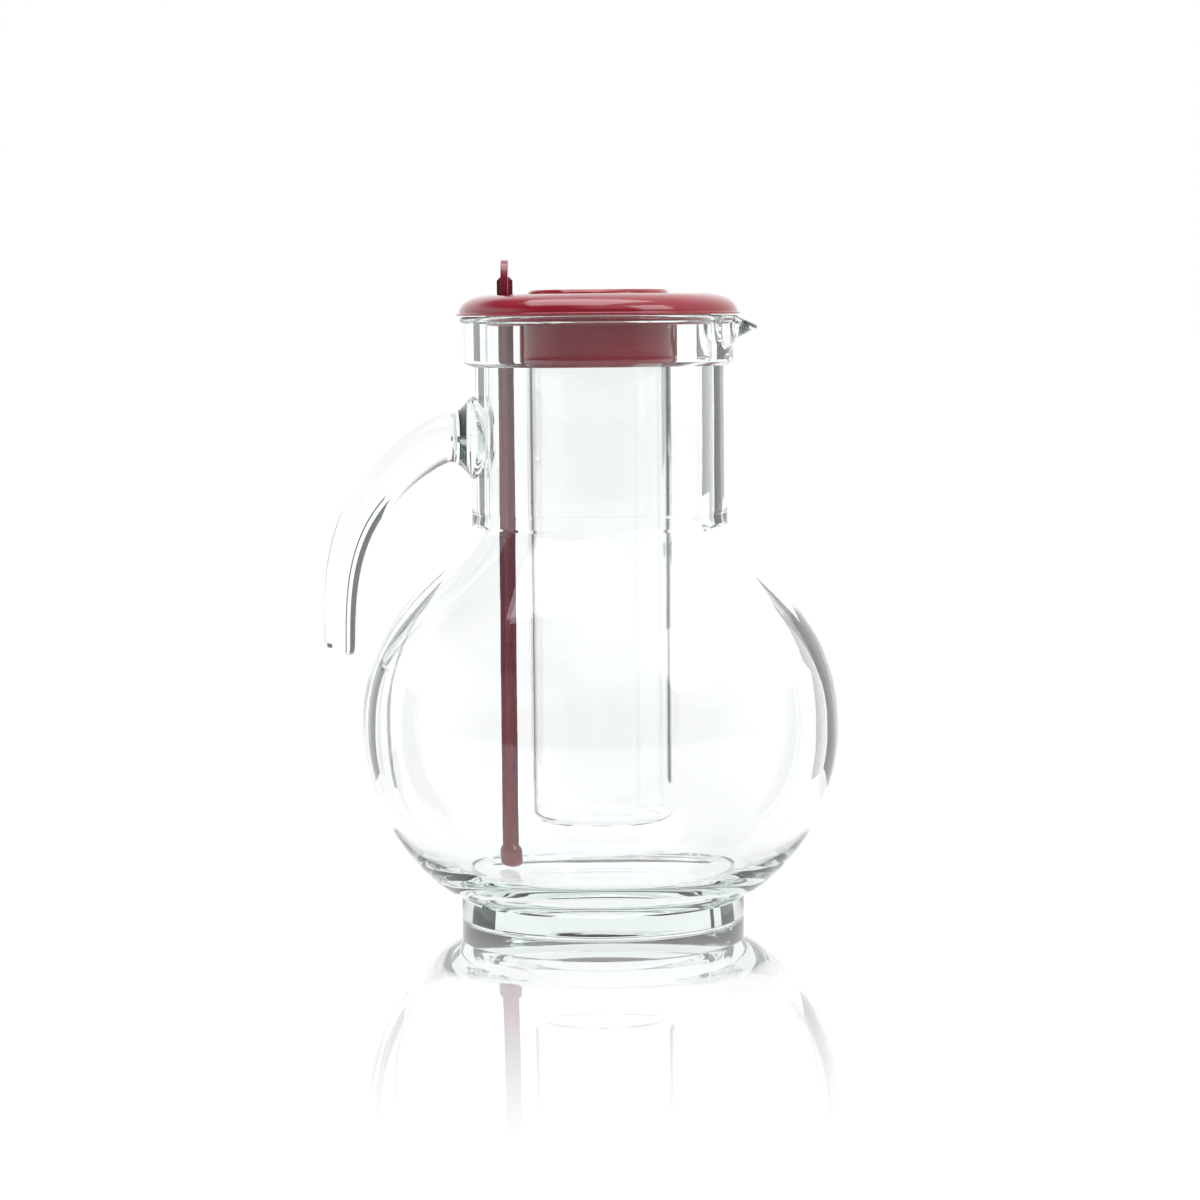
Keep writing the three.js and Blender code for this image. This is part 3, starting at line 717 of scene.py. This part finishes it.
studio = {
    "tableSize": 12.0, "tableDrop": 0.2, "tableColour": (0.9, 0.9, 0.9, 1), "tableGlow": 0.85,
    "tableDiffuse": 0.25, "farGlow": 1.0, "glowRise": (0.5, 1.6),
    "mirror": 0.88, "mirrorStart": -0.02, "mirrorEnd": -0.37, "mirrorRoughness": 0.02,
    "mirrorSides": (0.12, 0.2), "mirrorBack": (0.02, 0.1),
    "worldLight": 0.34, "backLevel": 1.11, "frontLevel": 0.2, "leftLevel": 0.15, "throughLevel": 0.6,
    "dimStart": -0.6, "dimEnd": -1.0,
    "lowSky": (0.75, 0.45), "frontSky": (-0.1, -0.6), "leftSky": (-0.08, -0.36), "highSky": (0.4, 0.65),
    "boardSteps": 6, "boardRed": 0.92, "lampAim": (0, 0, 0.12),
    "cameraPlace": (-0.0002, -1.25, 0.22066), "cameraDip": 4.741, "cameraRoll": -0.5,
    "sensor": 36, "lens": 102, "bounces": 32, "clearBounces": 24,
}

# dark boards behind the jug, seen only through the glass: name, bearings, distance, height, grey
boards = [
    ("boardRightLow", (30.5, 46), 0.33, 0.15, 0.1),
    ("boardRightTall", (36, 50), 0.34, 0.24, 0.1),
    ("boardRightFar", (15.5, 32), 3.0, 0.35, 0.15),
    ("boardLeft", (-31.5, -29.5), 0.31, 0.2, 0.12),
    ("boardLeftTall", (-50, -37), 0.34, 0.24, 0.18),
]


# lamps: name, place, size, watts
softboxes = [
    ("softboxRight", (0.9, -0.7, 1.1), (0.7, 0.9), 8.0),
    ("softboxTop", (-0.2, 0.1, 1.6), (1.2, 1.2), 14.0),
]


def makeTable():
    bpy.ops.object.select_all(action="DESELECT")
    bpy.ops.mesh.primitive_plane_add(size=studio["tableSize"], location=(0, 0, -studio["tableDrop"] * mm))
    table = nameNewest("whiteTable")
    material, tree, output = newMaterial("whiteTableTop")
    light = place(tree, "ShaderNodeLightPath").outputs
    seen = place(tree, "ShaderNodeMath", {0: light["Is Camera Ray"], 1: light["Is Glossy Ray"]},
                 operation="MAXIMUM").outputs[0]
    seen = place(tree, "ShaderNodeMath", {0: seen, 1: light["Is Transmission Ray"]},
                 operation="MAXIMUM").outputs[0]
    diffuse = place(tree, "ShaderNodeBsdfDiffuse", {"Color": studio["tableColour"]})
    # far from the lamps the table glows a little more, so that it meets the background without a line
    spotOnTable = place(tree, "ShaderNodeTexCoord").outputs["Object"]
    reach = place(tree, "ShaderNodeVectorMath", {0: spotOnTable}, operation="LENGTH").outputs["Value"]
    glowLevel = place(tree, "ShaderNodeMapRange",
                      {"Value": reach, "From Min": studio["glowRise"][0], "From Max": studio["glowRise"][1],
                       "To Min": studio["tableGlow"] / (1 - studio["tableDiffuse"]),
                       "To Max": studio["farGlow"] / (1 - studio["tableDiffuse"])}).outputs[0]
    glow = place(tree, "ShaderNodeEmission", {"Strength": glowLevel})
    pale = place(tree, "ShaderNodeMixShader",
                 {0: 1 - studio["tableDiffuse"], 1: diffuse.outputs[0], 2: glow.outputs[0]})
    shown = place(tree, "ShaderNodeMixShader", {0: seen, 1: diffuse.outputs[0], 2: pale.outputs[0]})
    spot = place(tree, "ShaderNodeSeparateXYZ", {0: spotOnTable}).outputs
    where = spot["Y"]
    fade = place(tree, "ShaderNodeMapRange",
                 {"Value": where, "From Min": studio["mirrorEnd"], "From Max": studio["mirrorStart"],
                  "To Min": 0.0, "To Max": studio["mirror"]}).outputs[0]
    gloss = place(tree, "ShaderNodeBsdfGlossy",
                  {"Color": (1, 1, 1, 1), "Roughness": studio["mirrorRoughness"]})
    # the mirror is kept to the stretch between the jug and the front of the picture
    sideways = place(tree, "ShaderNodeMath", {0: spot["X"]}, operation="ABSOLUTE").outputs[0]
    for value, ends in ((sideways, studio["mirrorSides"]), (where, studio["mirrorBack"])):
        window = place(tree, "ShaderNodeMapRange",
                       {"Value": value, "From Min": ends[0], "From Max": ends[1],
                        "To Min": 1.0, "To Max": 0.0}).outputs[0]
        fade = place(tree, "ShaderNodeMath", {0: fade, 1: window}, operation="MULTIPLY").outputs[0]
    mirrored = place(tree, "ShaderNodeMath", {0: fade, 1: light["Is Camera Ray"]},
                     operation="MULTIPLY").outputs[0]
    # the stretch in front of the jug, out of the picture, is dim in reflections and less so through glass
    away = place(tree, "ShaderNodeMapRange",
                 {"Value": where, "From Min": studio["dimStart"], "From Max": studio["dimEnd"]}).outputs[0]
    sharp = place(tree, "ShaderNodeMath", {0: light["Is Glossy Ray"], 1: light["Is Transmission Ray"]},
                  operation="MAXIMUM").outputs[0]
    dimmed = place(tree, "ShaderNodeMath", {0: away, 1: sharp}, operation="MULTIPLY").outputs[0]
    dimLevel = place(tree, "ShaderNodeMapRange",
                     {"Value": light["Is Transmission Ray"], "To Min": studio["frontLevel"],
                      "To Max": studio["throughLevel"]}).outputs[0]
    dim = place(tree, "ShaderNodeEmission", {"Strength": dimLevel})
    shown = place(tree, "ShaderNodeMixShader", {0: dimmed, 1: shown.outputs[0], 2: dim.outputs[0]})
    top = place(tree, "ShaderNodeMixShader", {0: mirrored, 1: shown.outputs[0], 2: gloss.outputs[0]})
    tree.links.new(top.outputs[0], output.inputs["Surface"])
    dress(table, material)


def addBoard(name, bearings, distance, height, grey):
    # an upright strip bent round the jug
    ends = [math.radians(bearing) for bearing in bearings]
    turns = [ends[0] + (ends[1] - ends[0]) * i / studio["boardSteps"]
             for i in range(studio["boardSteps"] + 1)]
    line = [(distance / mm * math.sin(turn), distance / mm * math.cos(turn), 0) for turn in turns]
    board = drawLine(name, line)
    bpy.ops.mesh.select_all(action="SELECT")
    bpy.ops.mesh.extrude_region_move(TRANSFORM_OT_translate={"value": (0, 0, height)})
    bpy.ops.object.mode_set(mode="OBJECT")
    material, tree, output = newMaterial(name + "Paint")
    paint = place(tree, "ShaderNodeEmission",
                  {"Color": (grey * studio["boardRed"], grey, grey, 1), "Strength": 1.0})
    tree.links.new(paint.outputs[0], output.inputs["Surface"])
    dress(board, material)
    board.visible_camera = board.visible_diffuse = board.visible_glossy = False
    board.visible_shadow = board.visible_volume_scatter = False


def makeWorld():
    world = bpy.data.worlds.new("whiteStudio")
    bpy.context.scene.world = world
    world.use_nodes = True
    tree = world.node_tree
    tree.nodes.clear()
    direction = place(tree, "ShaderNodeSeparateXYZ",
                      {0: place(tree, "ShaderNodeTexCoord").outputs["Generated"]}).outputs

    def skyShare(axis, ends):
        return place(tree, "ShaderNodeMapRange",
                     {"Value": direction[axis], "From Min": ends[0], "From Max": ends[1]},
                     interpolation_type="SMOOTHSTEP").outputs[0]

    low, front = skyShare("Z", studio["lowSky"]), skyShare("Y", studio["frontSky"])
    frontLow = place(tree, "ShaderNodeMath", {0: front, 1: low}, operation="MULTIPLY").outputs[0]
    light = place(tree, "ShaderNodeLightPath").outputs
    dimFront = place(tree, "ShaderNodeMapRange",
                     {"Value": light["Is Transmission Ray"], "To Min": studio["frontLevel"],
                      "To Max": studio["throughLevel"]}).outputs[0]
    front = place(tree, "ShaderNodeMapRange",
                  {"Value": frontLow, "To Min": studio["backLevel"], "To Max": dimFront}).outputs[0]
    left, high = skyShare("X", studio["leftSky"]), skyShare("Z", studio["highSky"])
    leftHigh = place(tree, "ShaderNodeMath", {0: left, 1: high}, operation="MULTIPLY").outputs[0]
    left = place(tree, "ShaderNodeMapRange",
                 {"Value": leftHigh, "To Min": 1.0, "To Max": studio["leftLevel"]}).outputs[0]
    level = place(tree, "ShaderNodeMath", {0: front, 1: left}, operation="MULTIPLY").outputs[0]
    shown = place(tree, "ShaderNodeBackground", {"Strength": 1.0})
    seen = place(tree, "ShaderNodeBackground", {"Strength": level})
    fill = place(tree, "ShaderNodeBackground", {"Strength": studio["worldLight"]})
    sharp = place(tree, "ShaderNodeMath", {0: light["Is Glossy Ray"], 1: light["Is Transmission Ray"]},
                  operation="MAXIMUM").outputs[0]
    mixed = place(tree, "ShaderNodeMixShader", {0: sharp, 1: fill.outputs[0], 2: seen.outputs[0]})
    final = place(tree, "ShaderNodeMixShader",
                  {0: light["Is Camera Ray"], 1: mixed.outputs[0], 2: shown.outputs[0]})
    for background in (shown, seen, fill):
        background.inputs["Color"].default_value = (1, 1, 1, 1)
    tree.links.new(final.outputs[0], place(tree, "ShaderNodeOutputWorld").inputs["Surface"])


def addSoftbox(name, location, size, energy):
    bpy.ops.object.light_add(type="AREA", location=location)
    lamp = bpy.context.object
    lamp.name = name
    lamp.data.shape = "RECTANGLE"
    lamp.data.size, lamp.data.size_y = size
    lamp.data.energy = energy
    towards = Vector(studio["lampAim"]) - Vector(location)
    lamp.rotation_euler = towards.to_track_quat("-Z", "Y").to_euler()


def makeCamera():
    bpy.ops.object.camera_add(location=studio["cameraPlace"])
    camera = bpy.context.object
    camera.name = "photoCamera"
    camera.data.sensor_width = studio["sensor"]
    camera.data.lens = studio["lens"]
    tilt = (Matrix.Rotation(math.radians(90 - studio["cameraDip"]), 4, "X")
            @ Matrix.Rotation(math.radians(studio["cameraRoll"]), 4, "Z"))
    camera.rotation_euler = tilt.to_euler()
    bpy.context.scene.camera = camera


makeTable()
for board in boards:
    addBoard(*board)
makeWorld()
for softbox in softboxes:
    addSoftbox(*softbox)
makeCamera()
scene = bpy.context.scene
scene.view_settings.view_transform = "Standard"
scene.cycles.max_bounces = studio["bounces"]
scene.cycles.transmission_bounces = scene.cycles.glossy_bounces = studio["clearBounces"]
scene.cycles.transparent_max_bounces = studio["clearBounces"]
print("studio made")
